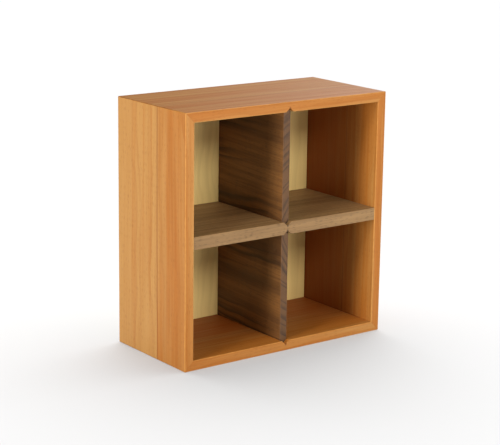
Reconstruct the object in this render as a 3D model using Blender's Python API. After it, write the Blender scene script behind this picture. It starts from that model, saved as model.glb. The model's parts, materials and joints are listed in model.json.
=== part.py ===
"""Desktop cube storage unit: a mitred beech carcass, a fixed walnut shelf and two sliding walnut dividers.

Units are metres and +Z is up. The origin lies on the table under the middle of the carcass.
The open front faces -Y. Every carcass board is glued up from a front stave and a rear stave.
"""

import math

import bmesh
import bpy

# Carcass
WIDTH = 0.292
DEPTH = 0.140
HEIGHT = 0.300
BOARD = 0.012  # thickness of the four outer boards
FRONT_STAVE = 0.057  # width of the front stave, measured back from the front edge
GLUE_GAP = 0.0003  # between two pieces that are glued face to face

# Shelf and dividers
SHELF = 0.015
SHELF_SETBACK = 0.0005  # from the front of the carcass to the front of the shelf
DIVIDER = 0.010
DIVIDER_SETBACK = 0.0055
DIVIDER_STOP_GAP = 0.0005  # between a pushed-in divider and the back panel
V_HALF_ANGLE = math.radians(50.0)  # between a V flank and the middle plane of its divider
TONGUE_FLAT = 0.0006  # width of the blunted tip of a tongue
GROOVE_PLAY = 0.00045  # how much deeper a groove's V is than its tongue's V

# Back panel, held in a groove run round the inside of the carcass
PANEL = 0.003
PANEL_FROM_FRONT = 0.134
PANEL_GROOVE_DEPTH = 0.005
PANEL_EDGE_PLAY = 0.0005

# Loose tongues glued across the mitres
BISCUIT_WIDTH = 0.010
BISCUIT_LENGTH = 0.040
BISCUIT_THICKNESS = 0.003
BISCUIT_CORNER = 0.0045
BISCUIT_FROM_INSIDE = 0.0065  # along the mitre, from its inside corner
BISCUIT_PLACES = {"front": 0.028, "rear": 0.102}  # from the front edge

# Dowels between the shelf and the sides
DOWEL_RADIUS = 0.003
DOWEL_IN_SIDE = 0.008
DOWEL_IN_SHELF = 0.014
DOWEL_CHAMFER = 0.0006
DOWEL_SIDES = 24
DOWEL_PLACES = {"front": 0.030, "rear": 0.104}  # from the front edge

CUTTER_OVERRUN = 0.005  # how far a through cutter passes the wood that it cuts

FRONT = -DEPTH / 2
INSIDE_X = WIDTH / 2 - BOARD
INSIDE_BOTTOM = BOARD
INSIDE_TOP = HEIGHT - BOARD
SHELF_BOTTOM = HEIGHT / 2 - SHELF / 2
SHELF_TOP = HEIGHT / 2 + SHELF / 2
TONGUE_HEIGHT = (DIVIDER - TONGUE_FLAT) / 2 / math.tan(V_HALF_ANGLE)
GROOVE_DEPTH = DIVIDER / 2 / math.tan(V_HALF_ANGLE) + GROOVE_PLAY
GROOVE_HALF_MOUTH = GROOVE_DEPTH * math.tan(V_HALF_ANGLE)

# Wood: colour, roughness
WOODS = {
    "beech": ((0.56, 0.25, 0.08), 0.50),
    "walnut": ((0.13, 0.06, 0.025), 0.55),
    "birch": ((0.70, 0.52, 0.28), 0.60),
}


def empty_scene():
    for thing in list(bpy.data.objects):
        bpy.data.objects.remove(thing)


def new_collection(name):
    collection = bpy.data.collections.new(name)
    bpy.context.scene.collection.children.link(collection)
    return collection


def wood_material(node, wood):
    """The node's own material, in the colour and sheen of its wood."""
    colour, roughness = WOODS[wood]
    material = bpy.data.materials.new(f"{node}_{wood}")
    material.use_nodes = True
    shader = material.node_tree.nodes["Principled BSDF"]
    shader.inputs["Base Color"].default_value = (*colour, 1.0)
    shader.inputs["Roughness"].default_value = roughness
    shader.inputs["Metallic"].default_value = 0.0
    return material


def block(size, centre=(0.0, 0.0, 0.0)):
    """A bmesh box of the given size around a centre."""
    shape = bmesh.new()
    bmesh.ops.create_cube(shape, size=1.0)
    bmesh.ops.scale(shape, vec=size, verts=shape.verts)
    bmesh.ops.translate(shape, vec=centre, verts=shape.verts)
    return shape


def to_mesh(shape, name):
    mesh = bpy.data.meshes.new(name)
    shape.to_mesh(mesh)
    shape.free()
    return mesh


def add_part(name, shape, wood, location=(0.0, 0.0, 0.0), turn=0.0):
    """A named piece in the unit's collection, turned about Y and moved to its place."""
    mesh = to_mesh(shape, name)
    mesh.materials.append(wood_material(name, wood))
    part = bpy.data.objects.new(name, mesh)
    part.location = location
    part.rotation_euler = (0.0, turn, 0.0)
    part.parent = unit
    parts.objects.link(part)
    return part


def add_cutter(name, shape, location=(0.0, 0.0, 0.0), turn=0.0):
    cutter = bpy.data.objects.new(name, to_mesh(shape, name))
    cutter.location = location
    cutter.rotation_euler = (0.0, turn, 0.0)
    cutter.hide_render = True
    cutter.display_type = "WIRE"
    cutters.objects.link(cutter)
    return cutter


def cut(part, cutter):
    modifier = part.modifiers.new(cutter.name, "BOOLEAN")
    modifier.operation = "DIFFERENCE"
    modifier.solver = "EXACT"
    modifier.object = cutter


def stave_shape(length, front, back):
    """A stave with 45-degree mitres: its inner face is at z = 0 and its outer face at z = BOARD."""
    shape = block((length, back - front, BOARD), (0.0, (front + back) / 2, BOARD / 2))
    inner = [vertex for vertex in shape.verts if vertex.co.z < BOARD / 2]
    bmesh.ops.scale(shape, vec=((length - 2 * BOARD) / length, 1.0, 1.0), verts=inner)
    return shape


def add_board(name, length, location, turn):
    """The front and rear staves of one carcass board."""
    mitre_gap = GLUE_GAP / 2 * math.sqrt(2.0)
    seam = FRONT + FRONT_STAVE
    spans = {
        "front": (FRONT, seam - GLUE_GAP / 2),
        "rear": (seam + GLUE_GAP / 2, FRONT + DEPTH),
    }
    staves = {}
    for place, (front, back) in spans.items():
        shape = stave_shape(length - 2 * mitre_gap, front, back)
        staves[place] = add_part(f"{name}_{place}_stave", shape, "beech", location, turn)
    return staves


def add_carcass():
    """The four glued-up boards, as {board: {place: stave}}."""
    right_angle = math.pi / 2
    middle = HEIGHT / 2
    return {
        "top": add_board("top", WIDTH, (0.0, 0.0, INSIDE_TOP), 0.0),
        "bottom": add_board("bottom", WIDTH, (0.0, 0.0, INSIDE_BOTTOM), math.pi),
        "left": add_board("left", HEIGHT, (-INSIDE_X, 0.0, middle), -right_angle),
        "right": add_board("right", HEIGHT, (INSIDE_X, 0.0, middle), right_angle),
    }


def add_shelf():
    front = FRONT + SHELF_SETBACK
    back = FRONT + PANEL_FROM_FRONT - GLUE_GAP
    size = (2 * (INSIDE_X - GLUE_GAP), back - front, SHELF)
    return add_part("shelf", block(size), "walnut", (0.0, (front + back) / 2, HEIGHT / 2))


def add_divider(name, bottom, top):
    """A sliding divider: a plain panel between two surfaces, with a blunted V tongue on each end."""
    front = FRONT + DIVIDER_SETBACK
    back = FRONT + PANEL_FROM_FRONT - DIVIDER_STOP_GAP
    shape = block((DIVIDER, back - front, top - bottom))
    for side in (-1, 1):
        end = [face for face in shape.faces if face.normal.z * side > 0.9]
        grown = bmesh.ops.extrude_face_region(shape, geom=end)["geom"]
        tip = [item for item in grown if isinstance(item, bmesh.types.BMVert)]
        bmesh.ops.translate(shape, vec=(0.0, 0.0, side * TONGUE_HEIGHT), verts=tip)
        bmesh.ops.scale(shape, vec=(TONGUE_FLAT / DIVIDER, 1.0, 1.0), verts=tip)
        bmesh.ops.delete(shape, geom=end, context="FACES_ONLY")
    bmesh.ops.recalc_face_normals(shape, faces=shape.faces)
    middle = (0.0, (front + back) / 2, (bottom + top) / 2)
    return add_part(name, shape, "walnut", middle)


def add_back_panel():
    reach = PANEL_GROOVE_DEPTH - PANEL_EDGE_PLAY
    size = (2 * (INSIDE_X + reach), PANEL, INSIDE_TOP - INSIDE_BOTTOM + 2 * reach)
    middle = FRONT + PANEL_FROM_FRONT + PANEL / 2
    return add_part("back_panel", block(size), "birch", (0.0, middle, HEIGHT / 2))


def biscuit_shape(grow=0.0):
    """A loose tongue lying flat: X crosses the mitre, Y runs along it, Z is its thickness."""
    size = (BISCUIT_WIDTH + 2 * grow, BISCUIT_LENGTH + 2 * grow, BISCUIT_THICKNESS + 2 * grow)
    shape = block(size)
    upright = [edge for edge in shape.edges if abs(edge.verts[0].co.z - edge.verts[1].co.z) > 0.001]
    bmesh.ops.bevel(
        shape,
        geom=upright,
        offset=BISCUIT_CORNER + grow,
        offset_type="OFFSET",
        affect="EDGES",
        segments=4,
        profile=0.5,
        material=-1,
        clamp_overlap=True,
    )
    return shape


def fit_biscuits(boards):
    """Two biscuits in each mitre, in slots cut into the staves on both sides of it."""
    for upright, across in (("left", -1), ("right", 1)):
        for level, up in (("bottom", -1), ("top", 1)):
            step = BISCUIT_FROM_INSIDE / math.sqrt(2.0)
            inside_z = INSIDE_TOP if up > 0 else INSIDE_BOTTOM
            turn = math.atan2(across, up)
            for place, from_front in BISCUIT_PLACES.items():
                spot = (across * (INSIDE_X + step), FRONT + from_front, inside_z + up * step)
                name = f"{level}_{upright}_{place}_biscuit"
                add_part(name, biscuit_shape(), "beech", spot, turn)
                slot = add_cutter(f"{name}_slot", biscuit_shape(GLUE_GAP), spot, turn)
                cut(boards[upright][place], slot)
                cut(boards[level][place], slot)


def dowel_shape(grow=0.0):
    """A dowel along X, its two lengths measured from the face between the side and the shelf."""
    shape = bmesh.new()
    radius = (DOWEL_RADIUS + grow) / (math.cos(math.pi / DOWEL_SIDES) if grow else 1.0)
    length = DOWEL_IN_SIDE + DOWEL_IN_SHELF + 2 * grow
    bmesh.ops.create_cone(
        shape, cap_ends=True, segments=DOWEL_SIDES, radius1=radius, radius2=radius, depth=length
    )
    if not grow:
        rims = [edge for edge in shape.edges if abs(edge.verts[0].co.z - edge.verts[1].co.z) < 1e-6]
        bmesh.ops.bevel(
            shape,
            geom=rims,
            offset=DOWEL_CHAMFER,
            offset_type="OFFSET",
            affect="EDGES",
            segments=1,
            profile=0.5,
            material=-1,
        )
    bmesh.ops.translate(shape, vec=(0.0, 0.0, (DOWEL_IN_SHELF - DOWEL_IN_SIDE) / 2), verts=shape.verts)
    return shape


def fit_dowels(boards, shelf):
    """Two dowels in each end of the shelf; a dowel's long part points into the shelf."""
    for upright, across in (("left", -1), ("right", 1)):
        turn = -across * math.pi / 2
        for place, from_front in DOWEL_PLACES.items():
            spot = (across * INSIDE_X, FRONT + from_front, HEIGHT / 2)
            name = f"shelf_{upright}_{place}_dowel"
            add_part(name, dowel_shape(), "beech", spot, turn)
            hole = add_cutter(f"{name}_hole", dowel_shape(GLUE_GAP), spot, turn)
            cut(boards[upright][place], hole)
            cut(shelf, hole)


def cut_divider_grooves(boards, shelf):
    """V grooves from front to back, cut by diamond prisms centred on the grooved surfaces."""
    for name, level, pieces in (
        ("bottom_groove", INSIDE_BOTTOM, boards["bottom"].values()),
        ("shelf_lower_groove", SHELF_BOTTOM, [shelf]),
        ("shelf_upper_groove", SHELF_TOP, [shelf]),
        ("top_groove", INSIDE_TOP, boards["top"].values()),
    ):
        shape = bmesh.new()
        length = DEPTH + 2 * CUTTER_OVERRUN
        bmesh.ops.create_cone(shape, cap_ends=True, segments=4, radius1=1.0, radius2=1.0, depth=length)
        bmesh.ops.scale(shape, vec=(GROOVE_HALF_MOUTH, GROOVE_DEPTH, 1.0), verts=shape.verts)
        cutter = add_cutter(name, shape, (0.0, 0.0, level))
        cutter.rotation_euler = (math.pi / 2, 0.0, 0.0)
        for piece in pieces:
            cut(piece, cutter)


def cut_panel_groove(boards):
    size = (
        2 * (INSIDE_X + PANEL_GROOVE_DEPTH),
        PANEL + 2 * GLUE_GAP,
        INSIDE_TOP - INSIDE_BOTTOM + 2 * PANEL_GROOVE_DEPTH,
    )
    middle = FRONT + PANEL_FROM_FRONT + PANEL / 2
    cutter = add_cutter("panel_groove", block(size), (0.0, middle, HEIGHT / 2))
    for board in boards.values():
        cut(board["rear"], cutter)


empty_scene()
parts = new_collection("cube_storage_unit")
cutters = new_collection("cutters")
unit = bpy.data.objects.new("cube_storage_unit_origin", None)
parts.objects.link(unit)

carcass = add_carcass()
fixed_shelf = add_shelf()
add_divider("lower_divider", INSIDE_BOTTOM, SHELF_BOTTOM)
add_divider("upper_divider", SHELF_TOP, INSIDE_TOP)
add_back_panel()
cut_divider_grooves(carcass, fixed_shelf)
cut_panel_groove(carcass)
fit_biscuits(carcass)
fit_dowels(carcass, fixed_shelf)
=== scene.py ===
"""Finished look of the cube storage unit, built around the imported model.

Every stave, the shelf, the dividers and the back panel are remodelled here with eased arrises, closed
glue lines and slots for their biscuits and dowels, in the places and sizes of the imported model. Units are
metres, +Z is up and the open front faces -Y.
"""

import json
import math

import bmesh
import bpy
from mathutils import Matrix, Vector

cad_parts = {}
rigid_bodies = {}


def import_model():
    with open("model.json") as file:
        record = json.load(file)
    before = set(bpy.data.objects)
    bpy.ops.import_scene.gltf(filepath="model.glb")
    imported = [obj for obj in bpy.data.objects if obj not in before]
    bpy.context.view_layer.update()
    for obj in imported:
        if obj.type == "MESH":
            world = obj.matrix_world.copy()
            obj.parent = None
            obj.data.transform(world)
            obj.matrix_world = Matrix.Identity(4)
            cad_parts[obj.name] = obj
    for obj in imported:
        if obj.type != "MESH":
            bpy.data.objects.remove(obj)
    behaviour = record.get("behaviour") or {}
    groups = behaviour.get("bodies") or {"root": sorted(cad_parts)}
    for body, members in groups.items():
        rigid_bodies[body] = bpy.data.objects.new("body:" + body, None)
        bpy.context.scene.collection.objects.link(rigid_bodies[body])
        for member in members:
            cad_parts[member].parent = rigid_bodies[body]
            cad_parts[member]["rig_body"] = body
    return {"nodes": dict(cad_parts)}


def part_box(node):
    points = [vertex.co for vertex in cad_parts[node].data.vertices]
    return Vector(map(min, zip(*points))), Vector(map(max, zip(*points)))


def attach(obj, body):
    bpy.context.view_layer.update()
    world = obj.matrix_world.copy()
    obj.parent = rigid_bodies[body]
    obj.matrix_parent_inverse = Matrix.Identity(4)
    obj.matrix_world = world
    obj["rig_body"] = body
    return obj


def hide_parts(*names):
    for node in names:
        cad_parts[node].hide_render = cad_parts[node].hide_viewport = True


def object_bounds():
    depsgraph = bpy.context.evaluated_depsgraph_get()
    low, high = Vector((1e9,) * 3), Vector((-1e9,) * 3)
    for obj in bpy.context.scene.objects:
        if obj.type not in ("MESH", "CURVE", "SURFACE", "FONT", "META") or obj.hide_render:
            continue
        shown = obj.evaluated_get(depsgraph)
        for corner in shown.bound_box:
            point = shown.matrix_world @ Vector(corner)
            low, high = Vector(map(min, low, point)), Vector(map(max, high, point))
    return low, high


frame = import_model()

cad_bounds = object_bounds()

MM = 0.001

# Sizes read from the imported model
LOW, HIGH = cad_bounds
FRONT = LOW.y
BACK = HIGH.y
WIDTH = HIGH.x - LOW.x
HEIGHT = HIGH.z
INSIDE_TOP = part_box("top_front_stave")[0].z
INSIDE_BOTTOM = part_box("bottom_front_stave")[1].z
INSIDE_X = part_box("right_front_stave")[0].x
BOARD = HEIGHT - INSIDE_TOP
SEAM = (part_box("top_front_stave")[1].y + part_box("top_rear_stave")[0].y) / 2
SHELF_LOW, SHELF_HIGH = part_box("shelf")
DIVIDER_LOW, DIVIDER_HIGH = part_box("upper_divider")
PANEL_LOW, PANEL_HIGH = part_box("back_panel")

# V joints of the sliding dividers
V_HALF_ANGLE = math.radians(50.0)
GROOVE_PLAY = 0.45 * MM
DIVIDER = DIVIDER_HIGH.x - DIVIDER_LOW.x
TONGUE = DIVIDER_HIGH.z - INSIDE_TOP
TONGUE_FLAT = DIVIDER - 2 * TONGUE * math.tan(V_HALF_ANGLE)
GROOVE_DEPTH = DIVIDER / 2 / math.tan(V_HALF_ANGLE) + GROOVE_PLAY
GROOVE_HALF_MOUTH = GROOVE_DEPTH * math.tan(V_HALF_ANGLE)

# Glue lines and hidden joints
GLUE_LINE = 0.03 * MM
FITTING_PLAY = 0.3 * MM  # round the biscuits, the dowels and the back panel
PANEL_GROOVE_DEPTH = 5.0 * MM

# Sanded arrises
FRONT_ARRIS = 0.7 * MM
DIVIDER_ARRIS = 0.5 * MM
GROOVE_ARRIS = 0.3 * MM
CORNER_RADIUS = 1.0 * MM
CORNER_STEPS = 3
ARRIS_SEGMENTS = 4
SMOOTH_BELOW = math.radians(30.0)
TINY = 0.01 * MM


# ---------------------------------------------------------------- woodworking

def new_shape():
    """An empty bmesh whose edges can carry the mark that the sanding reads."""
    shape = bmesh.new()
    shape.edges.layers.float.new("bevel_weight_edge")
    return shape


def block(low, high):
    """A bmesh box between two corners."""
    low, high = Vector(low), Vector(high)
    shape = new_shape()
    bmesh.ops.create_cube(shape, size=1.0)
    bmesh.ops.scale(shape, vec=high - low, verts=shape.verts)
    bmesh.ops.translate(shape, vec=(low + high) / 2, verts=shape.verts)
    return shape


def moulding(section, start, end):
    """A (y, z) section drawn at x = start and run along X to x = end."""
    shape = new_shape()
    corners = [shape.verts.new((start, y, z)) for y, z in section]
    first = shape.faces.new(corners)
    grown = bmesh.ops.extrude_face_region(shape, geom=[first])["geom"]
    far = [item for item in grown if isinstance(item, bmesh.types.BMVert)]
    bmesh.ops.translate(shape, vec=(end - start, 0.0, 0.0), verts=far)
    bmesh.ops.recalc_face_normals(shape, faces=shape.faces)
    return shape


def score(shape, x, level):
    """A line of edges across the flat surface at z = level, at a given x, so that it can be bent there."""
    faces = [face for face in shape.faces if all(abs(vertex.co.z - level) < TINY for vertex in face.verts)]
    edges = {edge for face in faces for edge in face.edges}
    vertices = {vertex for face in faces for vertex in face.verts}
    bmesh.ops.bisect_plane(
        shape,
        geom=faces + list(edges) + list(vertices),
        dist=TINY / 10,
        plane_co=(x, 0.0, 0.0),
        plane_no=(1.0, 0.0, 0.0),
    )


def v_groove(shape, level, inward):
    """A V groove along Y at x = 0, in the surface at z = level; inward is the sign of z into the wood."""
    for x in (-GROOVE_HALF_MOUTH, 0.0, GROOVE_HALF_MOUTH):
        score(shape, x, level)
    near = 2 * GROOVE_HALF_MOUTH
    mouth = [edge for edge in shape.edges if on_plane(edge, 2, level) and abs(middle(edge).x) < near]
    ease(shape, GROOVE_ARRIS, [edge for edge in mouth if runs_along(edge, 1) and abs(middle(edge).x) > TINY])
    bottom = [v for v in shape.verts if abs(v.co.z - level) < TINY and abs(v.co.x) < TINY]
    bmesh.ops.translate(shape, vec=(0.0, 0.0, inward * GROOVE_DEPTH), verts=bottom)


def mitre(shape, half_length):
    """Leans both ends of a board to 45 degrees: its inner face, at z = 0, gets shorter."""
    for side in (-1, 1):
        end = [v for v in shape.verts if abs(v.co.x - side * half_length) < TINY]
        lean = Matrix.Identity(4)
        lean[0][2] = side
        lean[0][3] = -side * BOARD
        bmesh.ops.transform(shape, matrix=lean, verts=end)


def round_mitre_tips(shape, half_length):
    """Bends the outer face down at both ends, to half of a rounded carcass corner."""
    centre = half_length - CORNER_RADIUS
    for step in range(CORNER_STEPS):
        reach = centre + CORNER_RADIUS * math.sin(math.pi / 4 * step / CORNER_STEPS)
        score(shape, -reach, BOARD)
        score(shape, reach, BOARD)
    for vertex in shape.verts:
        beyond = (abs(vertex.co.x) - centre) / CORNER_RADIUS
        if beyond > 0.0 and vertex.co.z > BOARD - TINY:
            angle = min(math.asin(min(beyond, 1.0)), math.pi / 4)
            vertex.co.x = math.copysign(centre + CORNER_RADIUS * math.sin(angle), vertex.co.x)
            vertex.co.z = BOARD - CORNER_RADIUS + CORNER_RADIUS * math.cos(angle)


def ease(shape, radius, edges):
    """Marks edges for sanding to a radius, which the mark gives as a share of the front arris."""
    mark = shape.edges.layers.float["bevel_weight_edge"]
    for edge in edges:
        edge[mark] = radius / FRONT_ARRIS


def middle(edge):
    return (edge.verts[0].co + edge.verts[1].co) / 2


def on_plane(edge, axis, level):
    return all(abs(vertex.co[axis] - level) < TINY for vertex in edge.verts)


def runs_along(edge, axis):
    run = edge.verts[1].co - edge.verts[0].co
    return abs(run[axis]) > 0.99 * run.length


# ---------------------------------------------------------------- fitting together

def fitting_hole(node):
    """A cutter in the shape of a biscuit or dowel, grown by its play."""
    shape = bmesh.new()
    shape.from_mesh(frame["nodes"][node].data)
    bmesh.ops.remove_doubles(shape, verts=shape.verts, dist=TINY / 10)
    bmesh.ops.dissolve_limit(shape, angle_limit=math.radians(1.0), verts=shape.verts, edges=shape.edges)
    shape.normal_update()
    moves = [(vertex, vertex.normal * vertex.calc_shell_factor() * FITTING_PLAY) for vertex in shape.verts]
    for vertex, move in moves:
        vertex.co += move
    mesh = bpy.data.meshes.new(f"{node}_hole")
    shape.to_mesh(mesh)
    shape.free()
    cutter = bpy.data.objects.new(f"{node}_hole", mesh)
    bpy.context.scene.collection.objects.link(cutter)
    return cutter


def finished_piece(node, shape, fittings, material):
    """Sands the marked arrises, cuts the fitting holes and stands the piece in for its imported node."""
    mesh = bpy.data.meshes.new(f"finished_{node}")
    shape.to_mesh(mesh)
    shape.free()
    piece = bpy.data.objects.new(f"finished_{node}", mesh)
    bpy.context.scene.collection.objects.link(piece)
    sanding = piece.modifiers.new("sanding", "BEVEL")
    sanding.limit_method = "WEIGHT"
    sanding.width = FRONT_ARRIS
    sanding.segments = ARRIS_SEGMENTS
    sanding.use_clamp_overlap = False
    cutters = [fitting_hole(fitting) for fitting in fittings]
    for cutter in cutters:
        hole = piece.modifiers.new(cutter.name, "BOOLEAN")
        hole.operation = "DIFFERENCE"
        hole.solver = "EXACT"
        hole.object = cutter
    apply_modifiers(piece)
    for cutter in cutters:
        bpy.data.objects.remove(cutter)
    piece.data.shade_smooth()
    piece.data.set_sharp_from_angle(angle=SMOOTH_BELOW)
    flats = piece.modifiers.new("flats", "WEIGHTED_NORMAL")
    flats.keep_sharp = True
    apply_modifiers(piece)
    piece.data.materials.clear()
    piece.data.materials.append(material)
    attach(piece, frame["nodes"][node]["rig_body"])
    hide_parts(node)
    return piece


def apply_modifiers(piece):
    """Makes the evaluated mesh the piece's own."""
    bpy.context.view_layer.update()
    evaluated = piece.evaluated_get(bpy.context.evaluated_depsgraph_get())
    rough = piece.data
    name = rough.name
    finished = bpy.data.meshes.new_from_object(evaluated)
    piece.modifiers.clear()
    piece.data = finished
    bpy.data.meshes.remove(rough)
    finished.name = name


# ---------------------------------------------------------------- carcass

def stave_shape(length, place, grooved):
    """One stave lying in its own frame: inner face at z = 0, outer face at z = BOARD, centred on x = 0."""
    half = length / 2 - GLUE_LINE / 2 * math.sqrt(2.0)
    if place == "front":
        front, back = FRONT, SEAM - GLUE_LINE / 2
        outer_end = front
        inner_line = [(front, 0.0), (back, 0.0)]
    else:
        front, back = SEAM + GLUE_LINE / 2, BACK
        outer_end = back
        near, far = PANEL_LOW.y - FITTING_PLAY, PANEL_HIGH.y + FITTING_PLAY
        depth = PANEL_GROOVE_DEPTH
        inner_line = [(front, 0.0), (near, 0.0), (near, depth), (far, depth), (far, 0.0), (back, 0.0)]
    shape = moulding(inner_line + [(back, BOARD), (front, BOARD)], -half, half)
    mitre(shape, half)
    if grooved:
        v_groove(shape, 0.0, 1)
    round_mitre_tips(shape, half)
    rim = [edge for edge in shape.edges if on_plane(edge, 1, outer_end)]
    sunk = [edge for edge in rim if TINY < middle(edge).z < GROOVE_DEPTH]
    flanks = [edge for edge in sunk if abs(middle(edge).x) < GROOVE_HALF_MOUTH]
    shoulder = BOARD - CORNER_RADIUS
    ease(shape, FRONT_ARRIS, [edge for edge in rim if middle(edge).z < TINY or middle(edge).z > shoulder])
    ease(shape, GROOVE_ARRIS, flanks)
    return shape


def corner_fittings(board, place):
    """The biscuits in both mitres of a stave, and the dowel at the shelf if it has one."""
    ending = f"_{place}_biscuit"
    names = [name for name in frame["nodes"] if name.endswith(ending) and board in name.split("_")]
    dowel = f"shelf_{board}_{place}_dowel"
    return names + [dowel] if dowel in frame["nodes"] else names


def add_board(board, length, location, turn, material_of):
    """The front and rear staves of one carcass board, turned about Y and moved to their place."""
    to_place = Matrix.Translation(location) @ Matrix.Rotation(turn, 4, "Y")
    for place in ("front", "rear"):
        node = f"{board}_{place}_stave"
        shape = stave_shape(length, place, grooved=board in ("top", "bottom"))
        bmesh.ops.transform(shape, matrix=to_place, verts=shape.verts)
        finished_piece(node, shape, corner_fittings(board, place), material_of(node))


def add_carcass(material_of):
    right_angle = math.pi / 2
    halfway = HEIGHT / 2
    add_board("top", WIDTH, (0.0, 0.0, INSIDE_TOP), 0.0, material_of)
    add_board("bottom", WIDTH, (0.0, 0.0, INSIDE_BOTTOM), math.pi, material_of)
    add_board("left", HEIGHT, (-INSIDE_X, 0.0, halfway), -right_angle, material_of)
    add_board("right", HEIGHT, (INSIDE_X, 0.0, halfway), right_angle, material_of)


# ---------------------------------------------------------------- shelf, dividers and back panel

def add_shelf(material):
    """The fixed shelf, with a V groove in its top and another in its underside."""
    reach = INSIDE_X - GLUE_LINE
    front, back = SHELF_LOW.y, PANEL_LOW.y - GLUE_LINE
    shape = block((-reach, front, SHELF_LOW.z), (reach, back, SHELF_HIGH.z))
    v_groove(shape, SHELF_HIGH.z, -1)
    v_groove(shape, SHELF_LOW.z, 1)
    front_edges = [edge for edge in shape.edges if on_plane(edge, 1, front)]
    long_edges = [edge for edge in front_edges if abs(middle(edge).x) < reach - TINY]
    ease(shape, DIVIDER_ARRIS, [edge for edge in long_edges if runs_along(edge, 0)])
    ease(shape, GROOVE_ARRIS, [edge for edge in long_edges if not runs_along(edge, 0)])
    dowels = [name for name in frame["nodes"] if name.endswith("_dowel")]
    finished_piece("shelf", shape, dowels, material)


def add_divider(node, bottom, top, material):
    """A sliding divider between two surfaces, with a blunted V tongue along each of them."""
    low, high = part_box(node)
    shape = block((low.x, low.y, bottom), (high.x, high.y, top))
    for side in (-1, 1):
        end = [face for face in shape.faces if face.normal.z * side > 0.9]
        grown = bmesh.ops.extrude_face_region(shape, geom=end)["geom"]
        tip = [item for item in grown if isinstance(item, bmesh.types.BMVert)]
        bmesh.ops.delete(shape, geom=end, context="FACES_ONLY")
        bmesh.ops.translate(shape, vec=(0.0, 0.0, side * TONGUE), verts=tip)
        bmesh.ops.scale(shape, vec=(TONGUE_FLAT / DIVIDER, 1.0, 1.0), verts=tip)
    bmesh.ops.recalc_face_normals(shape, faces=shape.faces)
    ends = [edge for edge in shape.edges if on_plane(edge, 1, low.y) or on_plane(edge, 1, high.y)]
    ease(shape, DIVIDER_ARRIS, [edge for edge in ends if runs_along(edge, 2)])
    sloping = [edge for edge in ends if not runs_along(edge, 2)]
    ease(shape, GROOVE_ARRIS, [edge for edge in sloping if edge.calc_length() > DIVIDER_ARRIS * 2])
    finished_piece(node, shape, [], material)


def add_back_panel(material):
    shape = block(PANEL_LOW, PANEL_HIGH)
    ease(shape, GROOVE_ARRIS, shape.edges)
    finished_piece("back_panel", shape, [], material)


# ---------------------------------------------------------------- shader building blocks

def feed(tree, socket, value):
    """Links an output to a socket, or sets the socket to a plain value."""
    if isinstance(value, bpy.types.NodeSocket):
        tree.links.new(value, socket)
    else:
        socket.default_value = value


def calculate(tree, operation, first, second=0.0):
    node = tree.nodes.new("ShaderNodeMath")
    node.operation = operation
    feed(tree, node.inputs[0], first)
    feed(tree, node.inputs[1], second)
    return node.outputs["Value"]


def times(tree, first, second):
    return calculate(tree, "MULTIPLY", first, second)


def plus(tree, first, second):
    return calculate(tree, "ADD", first, second)


def minus(tree, first, second):
    return calculate(tree, "SUBTRACT", first, second)


def fade(tree, value, low, high, at_low=0.0, at_high=1.0):
    """A soft step: at_low where the value is low, at_high where it is high."""
    node = tree.nodes.new("ShaderNodeMapRange")
    node.interpolation_type = "SMOOTHSTEP"
    feed(tree, node.inputs["Value"], value)
    feed(tree, node.inputs["From Min"], low)
    feed(tree, node.inputs["From Max"], high)
    feed(tree, node.inputs["To Min"], at_low)
    feed(tree, node.inputs["To Max"], at_high)
    return node.outputs["Result"]


def mix(tree, share, first, second):
    """Blends two colours."""
    node = tree.nodes.new("ShaderNodeMix")
    node.data_type = "RGBA"
    feed(tree, node.inputs[0], share)
    feed(tree, node.inputs[6], first)
    feed(tree, node.inputs[7], second)
    return node.outputs[2]


def scaled(tree, vector, scale):
    node = tree.nodes.new("ShaderNodeVectorMath")
    node.operation = "MULTIPLY"
    feed(tree, node.inputs[0], vector)
    feed(tree, node.inputs[1], scale)
    return node.outputs["Vector"]


def noise(tree, vector, scale, detail=2.0, roughness=0.5):
    """Noise round 0.5; the vector is in metres and the scale gives features per metre along each axis."""
    node = tree.nodes.new("ShaderNodeTexNoise")
    feed(tree, node.inputs["Vector"], scaled(tree, vector, scale))
    node.inputs["Scale"].default_value = 1.0
    node.inputs["Detail"].default_value = detail
    node.inputs["Roughness"].default_value = roughness
    return node.outputs["Fac"]


def axes(tree, vector):
    node = tree.nodes.new("ShaderNodeSeparateXYZ")
    feed(tree, node.inputs[0], vector)
    return node.outputs


def new_group(name, given, results):
    """An empty shader group: its tree, its input values and its result sockets, by name."""
    tree = bpy.data.node_groups.new(name, "ShaderNodeTree")
    kinds = {float: "NodeSocketFloat", tuple: "NodeSocketVector"}
    for label, value in given.items():
        socket = tree.interface.new_socket(name=label, in_out="INPUT", socket_type=kinds[type(value)])
        socket.default_value = value
    for label in results:
        tree.interface.new_socket(name=label, in_out="OUTPUT", socket_type="NodeSocketFloat")
    entry = tree.nodes.new("NodeGroupInput")
    result = tree.nodes.new("NodeGroupOutput")
    return tree, entry.outputs, result.inputs


def use(tree, group, **values):
    """Places a group in a material with its own values, and gives its outputs."""
    node = tree.nodes.new("ShaderNodeGroup")
    node.node_tree = group
    for label, value in values.items():
        feed(tree, node.inputs[label], value)
    return node.outputs


# ---------------------------------------------------------------- wood effects
# Growth rings, fibres and dashes take a place in the log, in metres: X runs along the grain and the pith is
# at Y = Z = 0. The other effects take a place in the unit.

# What a group's vector inputs start from
ORIGIN = (0.0, 0.0, 0.0)

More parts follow.
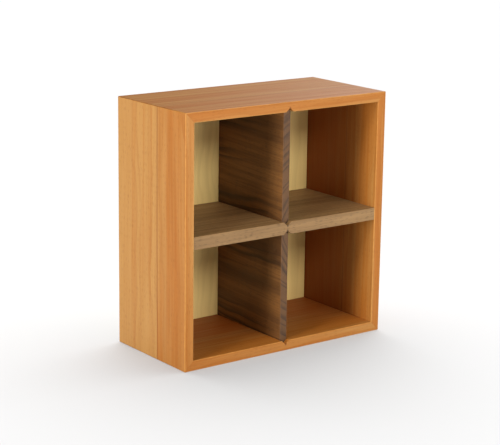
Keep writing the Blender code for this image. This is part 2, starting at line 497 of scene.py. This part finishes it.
def make_growth_rings():
    """Rings round the pith: Latewood is the dark rim of each ring, Tone a value of its own for each ring."""
    tree, given, result = new_group(
        "growth_rings", {"Vector": ORIGIN, "Spacing": 0.004, "Wander": 0.004}, ["Latewood", "Tone"]
    )
    bend = minus(tree, noise(tree, given["Vector"], (11.0, 17.0, 17.0), 2.0), 0.5)
    across = tree.nodes.new("ShaderNodeVectorMath")
    across.operation = "LENGTH"
    feed(tree, across.inputs[0], scaled(tree, given["Vector"], (0.0, 1.0, 1.0)))
    radius = plus(tree, across.outputs["Value"], times(tree, bend, given["Wander"]))
    count = calculate(tree, "DIVIDE", radius, given["Spacing"])
    uneven = tree.nodes.new("ShaderNodeTexNoise")
    uneven.noise_dimensions = "1D"
    uneven.inputs["Scale"].default_value = 0.45
    uneven.inputs["Detail"].default_value = 1.0
    feed(tree, uneven.inputs["W"], count)
    count = plus(tree, count, times(tree, uneven.outputs["Fac"], 3.0))
    share = calculate(tree, "FRACT", count)
    rim = times(tree, fade(tree, share, 0.3, 0.9), fade(tree, share, 0.92, 1.0, 1.0, 0.0))
    ring = tree.nodes.new("ShaderNodeTexWhiteNoise")
    ring.noise_dimensions = "1D"
    feed(tree, ring.inputs["W"], calculate(tree, "FLOOR", count))
    feed(tree, result["Latewood"], rim)
    feed(tree, result["Tone"], ring.outputs["Value"])
    return tree


def make_fibres():
    """Long streaks along the grain, round 0.5: hair-fine ones over broader ones."""
    tree, given, result = new_group("fibres", {"Vector": ORIGIN, "Fineness": 1.0}, ["Streaks"])
    resized = tree.nodes.new("ShaderNodeVectorMath")
    resized.operation = "SCALE"
    feed(tree, resized.inputs[0], given["Vector"])
    feed(tree, resized.inputs["Scale"], given["Fineness"])
    fine = noise(tree, resized.outputs["Vector"], (14.0, 1000.0, 1000.0), 2.0, 0.6)
    broad = noise(tree, resized.outputs["Vector"], (7.0, 330.0, 330.0), 2.0, 0.6)
    both = plus(tree, times(tree, fine, 0.45), times(tree, broad, 0.55))
    feed(tree, result["Streaks"], both)
    return tree


def make_dashes():
    """Short dashes along the grain, such as ray flecks and open pores."""
    tree, given, result = new_group(
        "dashes", {"Vector": ORIGIN, "Length": 0.003, "Width": 0.0004, "Share": 0.4}, ["Mask"]
    )
    stretch = tree.nodes.new("ShaderNodeCombineXYZ")
    along = calculate(tree, "DIVIDE", 1.0, given["Length"])
    across = calculate(tree, "DIVIDE", 1.0, given["Width"])
    feed(tree, stretch.inputs["X"], along)
    feed(tree, stretch.inputs["Y"], across)
    feed(tree, stretch.inputs["Z"], across)
    cells = tree.nodes.new("ShaderNodeTexVoronoi")
    feed(tree, cells.inputs["Vector"], scaled(tree, given["Vector"], stretch.outputs["Vector"]))
    cells.inputs["Scale"].default_value = 0.5
    pick = axes(tree, cells.outputs["Color"])[0]
    chosen = calculate(tree, "LESS_THAN", pick, given["Share"])
    dash = fade(tree, cells.outputs["Distance"], 0.2, 0.42, 1.0, 0.0)
    feed(tree, result["Mask"], times(tree, chosen, dash))
    return tree


def make_worn_and_highlit_edges():
    """Where hands and sandpaper reach, together with a painted highlight along the arrises: near the edges of
    the box between two corners.
    """
    tree, given, result = new_group(
        "worn_and_highlit_edges", {"Vector": ORIGIN, "Low": ORIGIN, "High": ORIGIN, "Reach": 0.0012}, ["Mask"]
    )
    place = axes(tree, given["Vector"])
    low = axes(tree, given["Low"])
    high = axes(tree, given["High"])
    from_low = [minus(tree, place[i], low[i]) for i in range(3)]
    from_high = [minus(tree, high[i], place[i]) for i in range(3)]
    x, y, z = (calculate(tree, "MINIMUM", *pair) for pair in zip(from_low, from_high))
    nearer = calculate(tree, "MINIMUM", x, y)
    farther = calculate(tree, "MAXIMUM", x, y)
    to_edge = calculate(tree, "MAXIMUM", nearer, calculate(tree, "MINIMUM", farther, z))
    uneven = times(tree, noise(tree, given["Vector"], (180.0, 180.0, 180.0), 3.0), 1.6)
    feed(tree, result["Mask"], fade(tree, to_edge, 0.0, times(tree, given["Reach"], uneven), 1.0, 0.0))
    return tree


def make_glue_lines():
    """Glue lines between carcass staves: Seam runs along the boards, and Mitre, which is fainter towards the
    front, sits in the four corners."""
    tree, given, result = new_group("glue_lines", {"Vector": ORIGIN, "Width": 0.0004}, ["Seam", "Mitre"])
    place = axes(tree, given["Vector"])
    to_seam = calculate(tree, "ABSOLUTE", minus(tree, place["Y"], SEAM))
    outward = minus(tree, calculate(tree, "ABSOLUTE", place["X"]), INSIDE_X)
    level = calculate(tree, "ABSOLUTE", minus(tree, place["Z"], HEIGHT / 2))
    upward = minus(tree, level, INSIDE_TOP - HEIGHT / 2)
    to_mitre = calculate(tree, "ABSOLUTE", minus(tree, outward, upward))
    fainter = fade(tree, place["Y"], FRONT + 1 * MM, FRONT + 40 * MM, 0.12, 1.0)
    feed(tree, result["Seam"], fade(tree, to_seam, 0.0, given["Width"], 1.0, 0.0))
    mitre_line = fade(tree, to_mitre, 0.0, given["Width"], 1.0, 0.0)
    feed(tree, result["Mitre"], times(tree, mitre_line, fainter))
    return tree


def make_painted_groove_shade():
    """Painted shade in the bottom of a V groove along Y; the bottom is at X = 0 and at the given height."""
    tree, given, result = new_group("painted_groove_shade", {"Vector": ORIGIN, "Level": 0.0, "Reach": 0.002}, ["Mask"])
    place = axes(tree, given["Vector"])
    above = minus(tree, place["Z"], given["Level"])
    squares = [calculate(tree, "POWER", side, 2.0) for side in (place["X"], above)]
    away = calculate(tree, "SQRT", plus(tree, *squares))
    feed(tree, result["Mask"], fade(tree, away, 0.0, given["Reach"], 1.0, 0.0))
    return tree


def make_painted_inner_shade():
    """Painted shade on the inner faces of a box between two corners, growing from its front edge at low Y over
    a distance.
    """
    tree, given, result = new_group(
        "painted_inner_shade", {"Vector": ORIGIN, "Low": ORIGIN, "High": ORIGIN, "Depth": 0.05}, ["Mask"]
    )
    place, low, high = (axes(tree, given[name]) for name in ("Vector", "Low", "High"))
    margin = 0.6 * MM
    mask = fade(tree, minus(tree, place["Y"], low["Y"]), 0.0, given["Depth"])
    for axis in ("X", "Z"):
        above = calculate(tree, "GREATER_THAN", place[axis], minus(tree, low[axis], margin))
        below = calculate(tree, "LESS_THAN", place[axis], plus(tree, high[axis], margin))
        mask = times(tree, mask, times(tree, above, below))
    feed(tree, result["Mask"], mask)
    return tree


EFFECTS = {
    "growth_rings": make_growth_rings(),
    "fibres": make_fibres(),
    "dashes": make_dashes(),
    "worn_and_highlit_edges": make_worn_and_highlit_edges(),
    "glue_lines": make_glue_lines(),
    "painted_inner_shade": make_painted_inner_shade(),
    "painted_groove_shade": make_painted_groove_shade(),
}


# ---------------------------------------------------------------- finishes

# Turns that bring the grain onto X
GRAIN_TURNS = {
    "X": (0.0, 0.0, 0.0),
    "Y": (0.0, 0.0, -math.pi / 2),
    "Z": (0.0, math.pi / 2, 0.0),
}


def new_finish(name, roughness):
    """A material with its tree, its shader and its Object coordinates."""
    material = bpy.data.materials.new(name)
    material.use_nodes = True
    tree = material.node_tree
    shader = tree.nodes["Principled BSDF"]
    shader.inputs["Roughness"].default_value = roughness
    coordinates = tree.nodes.new("ShaderNodeTexCoord")
    return material, tree, shader, coordinates.outputs["Object"]


def log_place(tree, place, grain, pith, lean):
    """Where a point of the piece was in its log: grain turned onto X, leaned, the pith moved to the axis."""
    turned = tree.nodes.new("ShaderNodeMapping")
    feed(tree, turned.inputs["Vector"], place)
    turned.inputs["Rotation"].default_value = GRAIN_TURNS[grain]
    leaned = tree.nodes.new("ShaderNodeMapping")
    feed(tree, leaned.inputs["Vector"], turned.outputs["Vector"])
    leaned.inputs["Rotation"].default_value = (0.0, math.radians(lean[0]), math.radians(lean[1]))
    leaned.inputs["Location"].default_value = (pith[0], -pith[1], -pith[2])
    return leaned.outputs["Vector"]


def bumped(tree, shader, height, depth):
    node = tree.nodes.new("ShaderNodeBump")
    node.inputs["Distance"].default_value = depth
    node.inputs["Strength"].default_value = 1.0
    feed(tree, node.inputs["Height"], height)
    feed(tree, shader.inputs["Normal"], node.outputs["Normal"])


BEECH_PALE = (0.480, 0.240, 0.064, 1.0)
BEECH_ROSY = (0.420, 0.146, 0.021, 1.0)
BEECH_RAY = (0.22, 0.060, 0.006, 1.0)
BEECH_LATE = (0.30, 0.085, 0.007, 1.0)
# Lighter arrises: sanding wear and a painted highlight
BEECH_WORN_AND_HIGHLIT = (0.60, 0.30, 0.075, 1.0)
# Painted shade: the colour the faces inside the unit darken to
BEECH_PAINTED_SHADE = (0.22, 0.040, 0.004, 1.0)
# Dark glue lines; also the painted shade in the bottom of the V grooves
GLUE_AND_GROOVE_SHADE = (0.17, 0.040, 0.008, 1.0)

# How much of each effect shows in the beech
BEECH_LATEWOOD_SHARE = 0.18
BEECH_FLECK_SHARE = 0.30
BEECH_INNER_SHADE_SHARE = 0.72
BEECH_WEAR_AND_HIGHLIGHT_SHARE = 0.5
SEAM_SHARE = 0.62
MITRE_SHARE = 0.75
BEECH_BAND_GAIN = 3.0
BEECH_BUMP = 0.08 * MM
BEECH_SHEEN = 0.2
# How far in from the front the painted shade inside the unit grows to its full strength
INNER_SHADE_DEEPENS_OVER = 0.085  # from the front edge inwards

# Painted shade in the bottom of the V grooves
GROOVE_SHADE_REACH = 2.2 * MM
GROOVE_SHADE_SHARE = 0.85


def paint_groove_shade(tree, place, colour, levels, dark):
    """Paints shade into the bottom of each V groove."""
    for level in levels:
        groove_shade = use(tree, EFFECTS["painted_groove_shade"], Vector=place, Level=level, Reach=GROOVE_SHADE_REACH)["Mask"]
        colour = mix(tree, times(tree, groove_shade, GROOVE_SHADE_SHARE), colour, dark)
    return colour


def beech(name, grain, pith, lean, warmth, fibre_contrast, low, high):
    """Oiled steamed beech: broad soft bands, long fibres and short dark ray flecks, with painted shade on the
    faces inside the unit.
    """
    material, tree, shader, place = new_finish(name, 0.5)
    shader.inputs["Specular IOR Level"].default_value = BEECH_SHEEN
    log = log_place(tree, place, grain, pith, lean)
    rings = use(tree, EFFECTS["growth_rings"], Vector=log, Spacing=0.0045, Wander=0.008)
    streaks = use(tree, EFFECTS["fibres"], Vector=log, Fineness=1.0)["Streaks"]
    flecks = use(tree, EFFECTS["dashes"], Vector=log, Length=0.0036, Width=0.0006, Share=0.45)["Mask"]
    glue = use(tree, EFFECTS["glue_lines"], Vector=place, Width=0.0012)
    wear_and_highlight = use(tree, EFFECTS["worn_and_highlit_edges"], Vector=place, Low=low, High=high, Reach=0.0016)["Mask"]
    inner_low = (-INSIDE_X, FRONT + 4 * MM, INSIDE_BOTTOM)
    inner_high = (INSIDE_X, BACK, INSIDE_TOP)
    inner = use(
        tree,
        EFFECTS["painted_inner_shade"],
        Vector=place,
        Low=inner_low,
        High=inner_high,
        Depth=INNER_SHADE_DEEPENS_OVER,
    )["Mask"]
    bands = noise(tree, log, (2.5, 75.0, 75.0), 2.0)
    tone = times(tree, minus(tree, bands, 0.5), BEECH_BAND_GAIN)
    tone = plus(tree, tone, times(tree, rings["Tone"], 0.35))
    colour = mix(tree, plus(tree, tone, warmth - 0.17), BEECH_PALE, BEECH_ROSY)
    colour = mix(tree, times(tree, rings["Latewood"], BEECH_LATEWOOD_SHARE), colour, BEECH_LATE)
    colour = mix(tree, fade(tree, streaks, 0.36, 0.64, 0.0, fibre_contrast), colour, BEECH_LATE)
    colour = mix(tree, times(tree, flecks, BEECH_FLECK_SHARE), colour, BEECH_RAY)
    # Painted shade on the faces inside the unit, darker deeper in
    colour = mix(tree, times(tree, inner, BEECH_INNER_SHADE_SHARE), colour, BEECH_PAINTED_SHADE)
    # Lighter arrises: partly sanding wear, partly a painted highlight
    colour = mix(tree, times(tree, wear_and_highlight, BEECH_WEAR_AND_HIGHLIGHT_SHARE), colour, BEECH_WORN_AND_HIGHLIT)
    if grain == "X":
        # Painted shade in the bottom of the V grooves of the top and bottom boards
        levels = (INSIDE_BOTTOM - GROOVE_DEPTH, INSIDE_TOP + GROOVE_DEPTH)
        colour = paint_groove_shade(tree, place, colour, levels, GLUE_AND_GROOVE_SHADE)
    colour = mix(tree, times(tree, glue["Seam"], SEAM_SHARE), colour, GLUE_AND_GROOVE_SHADE)
    colour = mix(tree, times(tree, glue["Mitre"], MITRE_SHARE), colour, GLUE_AND_GROOVE_SHADE)
    feed(tree, shader.inputs["Base Color"], colour)
    feed(tree, shader.inputs["Roughness"], fade(tree, streaks, 0.25, 0.75, 0.42, 0.58))
    height = minus(tree, streaks, times(tree, flecks, 0.6))
    bumped(tree, shader, height, BEECH_BUMP)
    return material


# Walnut in daylight on the shelf, and deeper and redder on the dividers: pale, middle and dark wood
SHELF_WALNUT = ((0.31, 0.176, 0.066, 1.0), (0.220, 0.118, 0.040, 1.0), (0.105, 0.050, 0.016, 1.0))
DIVIDER_WALNUT = ((0.215, 0.090, 0.022, 1.0), (0.110, 0.044, 0.011, 1.0), (0.040, 0.016, 0.005, 1.0))
SHELF_RINGS = 5 * MM
SHELF_CONTRAST = 0.4
DIVIDER_RINGS = 8.5 * MM
DIVIDER_CONTRAST = 0.85
WALNUT_END_PALE = (0.108, 0.048, 0.014, 1.0)
WALNUT_END_DARK = (0.034, 0.015, 0.005, 1.0)
# Open pores; also the painted shade in the bottom of the shelf's V grooves
WALNUT_PORE_AND_GROOVE_SHADE = (0.030, 0.014, 0.006, 1.0)

# How much of each effect shows in the walnut
WALNUT_FIBRE_SHARE = 0.33
WALNUT_PORE_SHARE = 0.45
WALNUT_WEAR_AND_HIGHLIGHT_SHARE = 0.3
WALNUT_END_SHARE = 0.85
WALNUT_BUMP = 0.10 * MM
WALNUT_SHEEN = 0.35


def walnut(name, grain, pith, lean, timber, ring_spacing, contrast, low, high):
    """Oiled walnut: wandering rings that come and go, fine open pores and darker end grain."""
    material, tree, shader, place = new_finish(name, 0.5)
    shader.inputs["Specular IOR Level"].default_value = WALNUT_SHEEN
    pale, middling, dark = timber
    log = log_place(tree, place, grain, pith, lean)
    rings = use(tree, EFFECTS["growth_rings"], Vector=log, Spacing=ring_spacing, Wander=0.014)
    streaks = use(tree, EFFECTS["fibres"], Vector=log, Fineness=0.7)["Streaks"]
    pores = use(tree, EFFECTS["dashes"], Vector=log, Length=0.004, Width=0.0004, Share=0.45)["Mask"]
    wear_and_highlight = use(tree, EFFECTS["worn_and_highlit_edges"], Vector=place, Low=low, High=high, Reach=0.0014)["Mask"]
    figure = fade(tree, noise(tree, log, (3.0, 20.0, 20.0), 1.0), 0.42, 0.60, 0.1, 1.0)
    bands = noise(tree, log, (2.5, 34.0, 34.0), 2.0)
    tone = plus(tree, fade(tree, bands, 0.34, 0.66), times(tree, rings["Tone"], 0.3))
    colour = mix(tree, minus(tree, tone, 0.25), pale, middling)
    rims = times(tree, times(tree, rings["Latewood"], figure), contrast)
    colour = mix(tree, rims, colour, dark)
    colour = mix(tree, fade(tree, streaks, 0.38, 0.64, 0.0, WALNUT_FIBRE_SHARE), colour, dark)
    colour = mix(tree, times(tree, pores, WALNUT_PORE_SHARE), colour, WALNUT_PORE_AND_GROOVE_SHADE)
    if grain == "Y":
        from_front = minus(tree, axes(tree, place)["Y"], low.y)
        end_grain = fade(tree, from_front, 0.3 * MM, 0.9 * MM, WALNUT_END_SHARE, 0.0)
        rim = times(tree, rings["Latewood"], 0.8)
        colour = mix(tree, end_grain, colour, mix(tree, rim, WALNUT_END_PALE, WALNUT_END_DARK))
    # Lighter arrises: partly sanding wear, partly a painted highlight
    colour = mix(tree, times(tree, wear_and_highlight, WALNUT_WEAR_AND_HIGHLIGHT_SHARE), colour, pale)
    if grain == "X":
        # Painted shade in the bottom of the shelf's V grooves
        levels = (SHELF_LOW.z + GROOVE_DEPTH, SHELF_HIGH.z - GROOVE_DEPTH)
        colour = paint_groove_shade(tree, place, colour, levels, WALNUT_PORE_AND_GROOVE_SHADE)
    feed(tree, shader.inputs["Base Color"], colour)
    feed(tree, shader.inputs["Roughness"], fade(tree, streaks, 0.25, 0.75, 0.45, 0.62))
    height = minus(tree, streaks, times(tree, pores, 1.2))
    bumped(tree, shader, height, WALNUT_BUMP)
    return material


PANEL_PALE = (0.90, 0.675, 0.27, 1.0)
PANEL_WARM = (0.84, 0.59, 0.19, 1.0)
PANEL_STREAK = (0.62, 0.42, 0.14, 1.0)


def pale_veneer(name, low, high):
    """Pale birch veneer with soft upright grain."""
    material, tree, shader, place = new_finish(name, 0.55)
    log = log_place(tree, place, "Z", (0.4, 0.012, 0.19), (0.4, 1.0))
    rings = use(tree, EFFECTS["growth_rings"], Vector=log, Spacing=0.009, Wander=0.03)
    streaks = use(tree, EFFECTS["fibres"], Vector=log, Fineness=0.7)["Streaks"]
    pores = use(tree, EFFECTS["dashes"], Vector=log, Length=0.0016, Width=0.0003, Share=0.2)["Mask"]
    wear_and_highlight = use(tree, EFFECTS["worn_and_highlit_edges"], Vector=place, Low=low, High=high)["Mask"]
    colour = mix(tree, noise(tree, log, (2.0, 24.0, 24.0)), PANEL_PALE, PANEL_WARM)
    colour = mix(tree, times(tree, rings["Latewood"], 0.18), colour, PANEL_STREAK)
    colour = mix(tree, fade(tree, streaks, 0.35, 0.75, 0.0, 0.2), colour, PANEL_STREAK)
    colour = mix(tree, times(tree, pores, 0.2), colour, PANEL_STREAK)
    # Lighter edges: partly sanding wear, partly a painted highlight
    colour = mix(tree, times(tree, wear_and_highlight, 0.2), colour, PANEL_PALE)
    feed(tree, shader.inputs["Base Color"], colour)
    feed(tree, shader.inputs["Roughness"], fade(tree, streaks, 0.25, 0.75, 0.5, 0.64))
    bumped(tree, shader, streaks, 0.05 * MM)
    return material


PRESSED_PALE = (0.66, 0.44, 0.22, 1.0)
PRESSED_DARK = (0.44, 0.25, 0.10, 1.0)


def pressed_beech(name, grain):
    """Unfinished compressed beech, as biscuits and dowels are: dry, even and close-grained."""
    material, tree, shader, place = new_finish(name, 0.7)
    log = log_place(tree, place, grain, (0.2, 0.03, 0.05), (4.0, 6.0))
    streaks = use(tree, EFFECTS["fibres"], Vector=log, Fineness=1.6)["Streaks"]
    flecks = use(tree, EFFECTS["dashes"], Vector=log, Length=0.0012, Width=0.0003, Share=0.4)["Mask"]
    colour = mix(tree, fade(tree, streaks, 0.25, 0.75), PRESSED_PALE, PRESSED_DARK)
    colour = mix(tree, times(tree, flecks, 0.5), colour, PRESSED_DARK)
    feed(tree, shader.inputs["Base Color"], colour)
    feed(tree, shader.inputs["Roughness"], fade(tree, streaks, 0.25, 0.75, 0.62, 0.8))
    bumped(tree, shader, streaks, 0.08 * MM)
    return material


# For each stave: the grain's direction, the pith's place, the log's lean in degrees, the share of rosy wood
# and how strongly the fibres show
STAVE_TIMBER = {
    "top_front_stave": ("X", (0.10, -0.16, 0.47), (0.5, 0.8), 0.75, 0.34),
    "top_rear_stave": ("X", (0.70, 0.21, 0.50), (-0.4, 0.6), 0.60, 0.28),
    "bottom_front_stave": ("X", (1.30, 0.15, -0.22), (0.6, -0.5), 0.80, 0.34),
    "bottom_rear_stave": ("X", (1.90, -0.20, -0.20), (-0.7, 0.4), 0.70, 0.30),
    "left_front_stave": ("Z", (2.40, -0.12, -0.31), (0.5, -0.6), 0.75, 0.26),
    "left_rear_stave": ("Z", (3.00, 0.14, -0.34), (-0.5, 0.7), 0.02, 0.18),
    "right_front_stave": ("Z", (3.60, -0.13, 0.36), (0.4, 0.6), 0.80, 0.34),
    "right_rear_stave": ("Z", (4.20, 0.16, 0.32), (0.8, -0.4), 0.80, 0.38),
}


def stave_finish(node):
    grain, pith, lean, warmth, fibre_contrast = STAVE_TIMBER[node]
    board = node.split("_")[0]
    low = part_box(f"{board}_front_stave")[0]
    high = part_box(f"{board}_rear_stave")[1]
    return beech(f"oiled_beech_{node}", grain, pith, lean, warmth, fibre_contrast, low, high)


def finish_fittings():
    """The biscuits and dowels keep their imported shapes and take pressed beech."""
    finishes = {
        "biscuit": pressed_beech("pressed_beech_biscuits", "Y"),
        "dowel": pressed_beech("pressed_beech_dowels", "X"),
    }
    for node, packed in frame["nodes"].items():
        kind = node.split("_")[-1]
        if kind in finishes:
            packed.data.materials.clear()
            packed.data.materials.append(finishes[kind])


# ---------------------------------------------------------------- studio

CAMERA_AZIMUTH = math.radians(-36.835)
CAMERA_ELEVATION = math.radians(13.626)
CAMERA_ROLL = math.radians(0.792)
CAMERA_DISTANCE = 1.836
CAMERA_AIM = Vector((-0.0558, FRONT, 0.1645))
CAMERA_LENS_MM = 114.93
SENSOR_WIDTH_MM = 36.0

STUDIO_WHITE = 0.965
SOFTBOX_DISTANCE = 2.4
FLOOR_REACH = 12.0
FLOOR_GREY = (0.4, 0.4, 0.4, 1.0)
FLOOR_GLOW = 0.285
FLOOR_WASH = 6.6
FLOOR_WASH_SPREAD = math.radians(100.0)
FLOOR_WASH_AZIMUTH = 135.0
FLOOR_WASH_ELEVATION = 60.0


def direction(azimuth, elevation):
    """The unit vector from the unit towards a viewer; azimuth 0 stands in front of it."""
    flat = math.cos(elevation)
    return Vector((math.sin(azimuth) * flat, -math.cos(azimuth) * flat, math.sin(elevation)))


def add_camera():
    data = bpy.data.cameras.new("camera")
    data.lens = CAMERA_LENS_MM
    data.sensor_width = SENSOR_WIDTH_MM
    camera = bpy.data.objects.new("camera", data)
    back = direction(CAMERA_AZIMUTH, CAMERA_ELEVATION)
    upright = (-back).to_track_quat("-Z", "Y")
    roll = Matrix.Rotation(CAMERA_ROLL, 3, "Z").to_quaternion()
    camera.rotation_mode = "QUATERNION"
    camera.rotation_quaternion = upright @ roll
    camera.location = CAMERA_AIM + back * CAMERA_DISTANCE
    bpy.context.scene.collection.objects.link(camera)
    bpy.context.scene.camera = camera


def aim_light(light, azimuth, elevation, distance, reaches):
    """Turns a light to the middle of the unit and limits what it shines on; everything still casts shadows."""
    back = direction(math.radians(azimuth), math.radians(elevation))
    light.location = Vector((0.0, 0.0, HEIGHT / 2)) + back * distance
    light.rotation_mode = "QUATERNION"
    light.rotation_quaternion = (-back).to_track_quat("-Z", "Y")
    light.light_linking.receiver_collection = reaches
    bpy.context.scene.collection.objects.link(light)


def add_softbox(name, azimuth, elevation, size, power, reaches):
    """A square softbox aimed at the unit."""
    data = bpy.data.lights.new(name, "AREA")
    data.shape = "SQUARE"
    data.size = size
    data.energy = power
    aim_light(bpy.data.objects.new(name, data), azimuth, elevation, SOFTBOX_DISTANCE, reaches)


def add_floor_wash(reaches):
    """Very soft light from above and behind, which leaves the unit's shadow on the white floor."""
    data = bpy.data.lights.new("floor_wash", "SUN")
    data.energy = FLOOR_WASH
    data.angle = FLOOR_WASH_SPREAD
    sun = bpy.data.objects.new("floor_wash", data)
    aim_light(sun, FLOOR_WASH_AZIMUTH, FLOOR_WASH_ELEVATION, SOFTBOX_DISTANCE, reaches)


def add_surroundings():
    """The air past the floor looks white and gives no light."""
    world = bpy.data.worlds.new("studio")
    world.use_nodes = True
    bpy.context.scene.world = world
    tree = world.node_tree
    background = tree.nodes["Background"]
    background.inputs["Color"].default_value = (1.0, 1.0, 1.0, 1.0)
    ray = tree.nodes.new("ShaderNodeLightPath")
    brightness = times(tree, ray.outputs["Is Camera Ray"], STUDIO_WHITE)
    feed(tree, background.inputs["Strength"], brightness)


def add_floor():
    """A wide pale floor, and two lists for the lights: only the floor, and all but the floor."""
    shape = bmesh.new()
    bmesh.ops.create_grid(shape, x_segments=8, y_segments=8, size=FLOOR_REACH)
    mesh = bpy.data.meshes.new("floor")
    shape.to_mesh(mesh)
    shape.free()
    floor = bpy.data.objects.new("floor", mesh)
    bpy.context.scene.collection.objects.link(floor)
    material, _, shader, _ = new_finish("white_floor", 1.0)
    shader.inputs["Base Color"].default_value = FLOOR_GREY
    shader.inputs["Specular IOR Level"].default_value = 0.0
    shader.inputs["Emission Color"].default_value = (1.0, 1.0, 1.0, 1.0)
    shader.inputs["Emission Strength"].default_value = FLOOR_GLOW
    mesh.materials.append(material)
    floor_only = bpy.data.collections.new("floor_only")
    floor_only.objects.link(floor)
    all_but_floor = bpy.data.collections.new("all_but_floor")
    all_but_floor.objects.link(floor)
    all_but_floor.collection_objects[0].light_linking.link_state = "EXCLUDE"
    return floor_only, all_but_floor


# ---------------------------------------------------------------- assembly

# Each softbox: azimuth and elevation in degrees, size in metres, power in watts
SOFTBOXES = (
    ("front_softbox", -2.0, 30.0, 0.6, 24.0),
    ("side_softbox", -75.0, 33.0, 0.6, 23.0),
    ("low_side_softbox", -80.0, 3.0, 0.5, 31.0),
    ("low_front_fill", 18.0, 6.0, 0.9, 26.0),
    ("back_softbox", 120.0, 42.0, 1.4, 46.0),
    ("high_fill", -45.0, 60.0, 1.4, 5.5),
)

add_camera()
add_surroundings()
floor_only, all_but_floor = add_floor()
add_floor_wash(floor_only)
for name, azimuth, elevation, size, power in SOFTBOXES:
    add_softbox(name, azimuth, elevation, size, power, all_but_floor)

bpy.context.scene.view_settings.view_transform = "Standard"

add_carcass(stave_finish)
shelf_log = ("X", (0.3, 0.12, 0.02), (0.8, 1.2))
shelf_timber = (SHELF_WALNUT, SHELF_RINGS, SHELF_CONTRAST)
add_shelf(walnut("oiled_walnut_shelf", *shelf_log, *shelf_timber, SHELF_LOW, SHELF_HIGH))
for divider, bottom, top, pith, lean in (
    ("lower_divider", INSIDE_BOTTOM, SHELF_LOW.z, (0.9, -0.09, 0.19), (2.0, -1.0)),
    ("upper_divider", SHELF_HIGH.z, INSIDE_TOP, (1.6, -0.10, 0.10), (2.5, 1.0)),
):
    timber = (DIVIDER_WALNUT, DIVIDER_RINGS, DIVIDER_CONTRAST)
    finish = walnut(f"oiled_walnut_{divider}", "Y", pith, lean, *timber, *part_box(divider))
    add_divider(divider, bottom, top, finish)
add_back_panel(pale_veneer("pale_veneer", PANEL_LOW, PANEL_HIGH))
finish_fittings()
